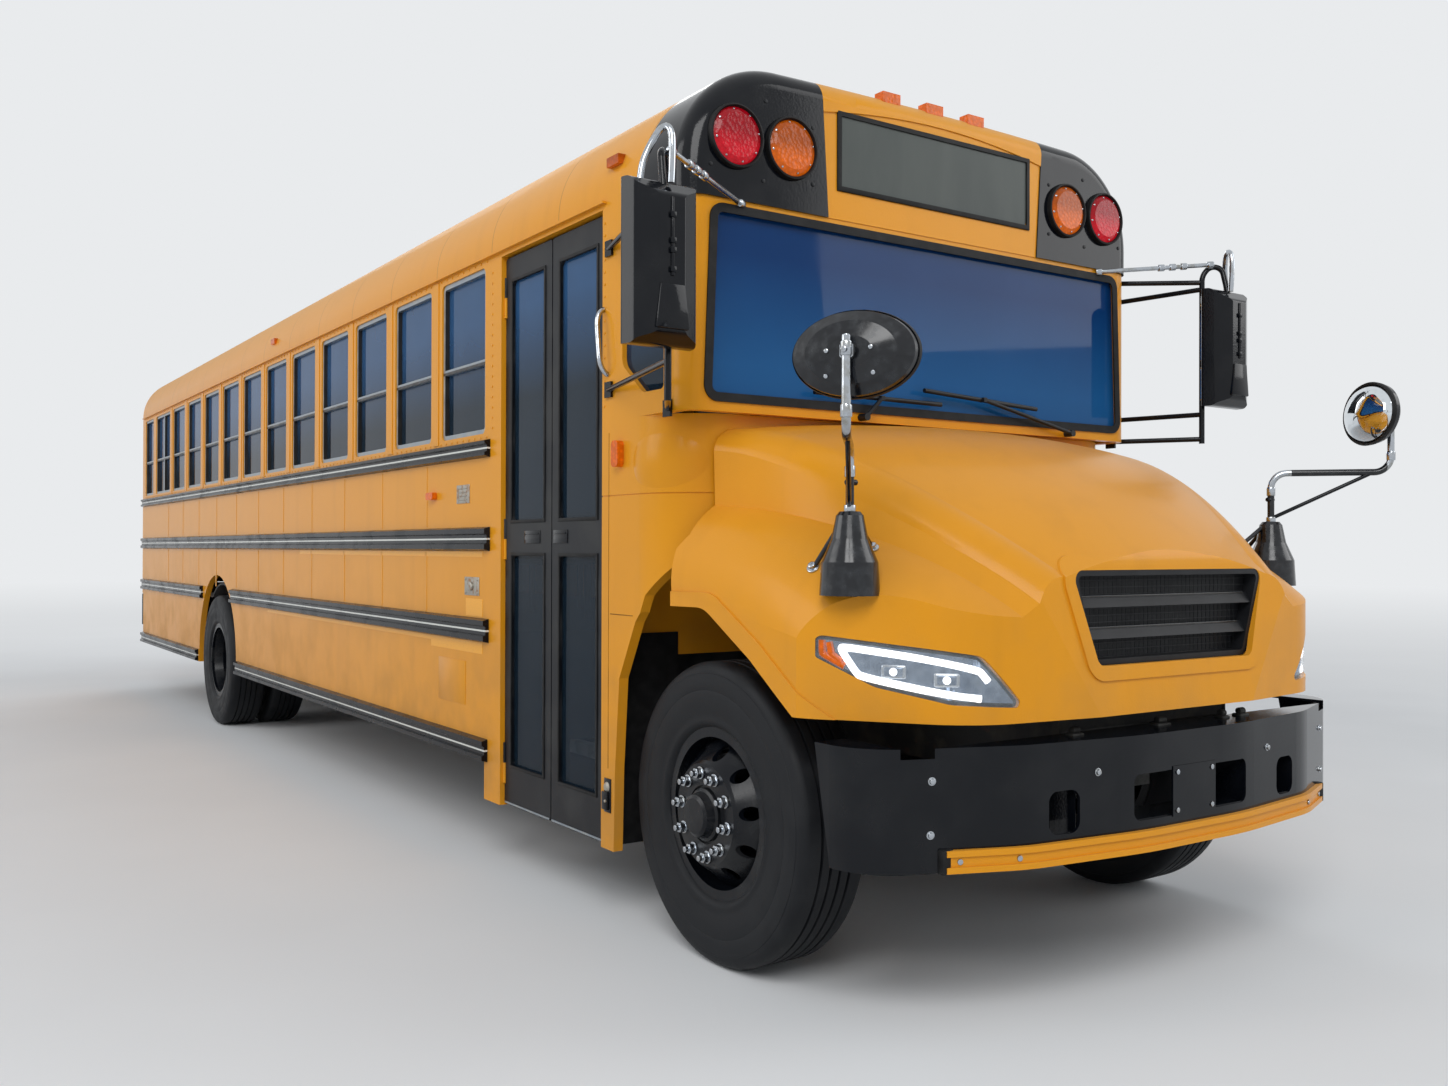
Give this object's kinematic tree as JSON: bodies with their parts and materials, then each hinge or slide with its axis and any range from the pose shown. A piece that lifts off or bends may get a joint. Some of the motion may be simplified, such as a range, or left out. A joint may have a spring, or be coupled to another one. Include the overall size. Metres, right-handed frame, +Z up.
{
  "type": "school bus",
  "caption": "Conventional school bus with a front hood, folding entrance door, hollow cabin with seats, steered front axle and twin rear wheels.",
  "frame": {"origin": "ground level under the middle of the bus", "axes": "+Z up, -Y to the front of the bus, +X to its left side"},
  "size_m": [3.194, 11.83, 3.222],
  "materials": {
    "yellow_paint": "gloss",
    "black_paint": "satin",
    "chassis_steel": "matt",
    "engine_casting": "rough",
    "exhaust_steel": "dull",
    "tank_steel": "satin",
    "tinted_glass": "polished",
    "window_aluminium": "satin",
    "tyre_rubber": "matt",
    "soft_rubber": "matt",
    "wheel_steel": "gloss",
    "black_plastic": "matt",
    "clear_lamp": "polished",
    "red_lens": "polished",
    "amber_lens": "polished",
    "grey_sign": "matt",
    "red_board": "satin",
    "floor_covering": "matt",
    "seat_vinyl": "matt",
    "seat_steel": "satin"
  },
  "bodies": {
    "chassis": {"cowl": "yellow_paint", "front_cap": "yellow_paint", "lamp_panels": "black_paint", "roof": "yellow_paint", "side_wall_left": "yellow_paint", "side_wall_right": "yellow_paint", "window_frames": "window_aluminium", "body_glass": "tinted_glass", "rub_rails": "black_paint", "rear_wall": "yellow_paint", "floor": "floor_covering", "wheel_housings": "floor_covering", "stepwell": "tank_steel", "seats": "seat_vinyl", "seat_frames": "seat_steel", "dashboard": "black_plastic", "frame": "black_paint", "front_axle": "chassis_steel", "rear_axle": "chassis_steel", "leaf_springs": "chassis_steel", "engine": "engine_casting", "driveline": "engine_casting", "exhaust": "exhaust_steel", "fuel_tank": "tank_steel", "front_bumper": "black_paint", "bumper_guard": "yellow_paint", "rear_bumper": "black_paint", "side_mirrors": "black_paint", "red_lamps": "red_lens", "amber_lamps": "amber_lens", "front_sign": "grey_sign", "mud_flaps": "soft_rubber", "gaskets": "soft_rubber", "wipers": "black_paint", "stop_arm_bracket": "black_paint"},
    "hood": {"hood": "yellow_paint", "grille": "black_plastic", "headlamps": "clear_lamp", "fender_liners": "black_plastic", "crossview_mirrors": "black_paint"},
    "door_front": {"door_front": "black_paint", "door_front_glass": "tinted_glass"},
    "door_rear": {"door_rear": "black_paint", "door_rear_glass": "tinted_glass"},
    "emergency_door": {"emergency_door": "yellow_paint", "emergency_door_glass": "tinted_glass"},
    "steering_wheel": {"steering_wheel": "black_plastic"},
    "knuckle_left": {"knuckle_left": "chassis_steel"},
    "knuckle_right": {"knuckle_right": "chassis_steel"},
    "tie_rod": {"tie_rod": "chassis_steel"},
    "front_wheel_left": {"tyre_front_left": "tyre_rubber", "wheel_front_left": "wheel_steel"},
    "front_wheel_right": {"tyre_front_right": "tyre_rubber", "wheel_front_right": "wheel_steel"},
    "rear_wheels_left": {"tyres_rear_left": "tyre_rubber", "wheel_rear_left": "wheel_steel"},
    "rear_wheels_right": {"tyres_rear_right": "tyre_rubber", "wheel_rear_right": "wheel_steel"},
    "stop_arm": {"stop_arm": "red_board"}
  },
  "joints": [
    {"name": "hood_tilt", "type": "hinge", "parent": "chassis", "child": "hood", "pos_m": [0, -5.805, 0.8], "axis": [1, 0, 0], "range_deg": [0, 75]},
    {"name": "front_leaf_swing", "type": "hinge", "parent": "chassis", "child": "door_front", "pos_m": [-1.17, -4.107, 1.5], "axis": [0, 0, 1], "range_deg": [0, 90]},
    {"name": "rear_leaf_swing", "type": "hinge", "parent": "chassis", "child": "door_rear", "pos_m": [-1.17, -3.181, 1.5], "axis": [0, 0, 1], "range_deg": [-90, 0]},
    {"name": "emergency_door_swing", "type": "hinge", "parent": "chassis", "child": "emergency_door", "pos_m": [-0.473, 5.836, 1.8], "axis": [0, 0, 1], "range_deg": [0, 110]},
    {"name": "steer_left", "type": "hinge", "parent": "chassis", "child": "knuckle_left", "pos_m": [0.835, -4.775, 0.525], "axis": [0, 0, 1], "range_deg": [-40, 40]},
    {"name": "steer_right", "type": "hinge", "parent": "chassis", "child": "knuckle_right", "pos_m": [-0.835, -4.775, 0.525], "axis": [0, 0, 1], "range_deg": [-40, 40]},
    {"name": "tie_rod_pivot", "type": "hinge", "parent": "knuckle_left", "child": "tie_rod", "pos_m": [0.835, -4.585, 0.4], "axis": [0, 0, 1], "range_deg": [-40, 40]},
    {"name": "steering_wheel_turn", "type": "hinge", "parent": "chassis", "child": "steering_wheel", "pos_m": [0.62, -4.01, 1.8], "axis": [0, 0.766, 0.6428], "range_deg": [-720, 720]},
    {"name": "front_wheel_left_roll", "type": "hinge", "parent": "knuckle_left", "child": "front_wheel_left", "pos_m": [0.985, -4.775, 0.525], "axis": [1, 0, 0], "continuous": true},
    {"name": "front_wheel_right_roll", "type": "hinge", "parent": "knuckle_right", "child": "front_wheel_right", "pos_m": [-0.985, -4.775, 0.525], "axis": [1, 0, 0], "continuous": true},
    {"name": "rear_wheels_left_roll", "type": "hinge", "parent": "chassis", "child": "rear_wheels_left", "pos_m": [0.895, 2.415, 0.525], "axis": [1, 0, 0], "continuous": true},
    {"name": "rear_wheels_right_roll", "type": "hinge", "parent": "chassis", "child": "rear_wheels_right", "pos_m": [-0.895, 2.415, 0.525], "axis": [1, 0, 0], "continuous": true},
    {"name": "stop_arm_swing", "type": "hinge", "parent": "chassis", "child": "stop_arm", "pos_m": [1.237, -1.775, 1.645], "axis": [0, 0, 1], "range_deg": [-90, 0]}
  ],
  "couplings": [
    {"joint": "rear_leaf_swing", "follows": "front_leaf_swing", "ratio": -1},
    {"joint": "steer_right", "follows": "steer_left", "ratio": 1},
    {"joint": "tie_rod_pivot", "follows": "steer_left", "ratio": -1},
    {"joint": "steering_wheel_turn", "follows": "steer_left", "ratio": 18}
  ]
}
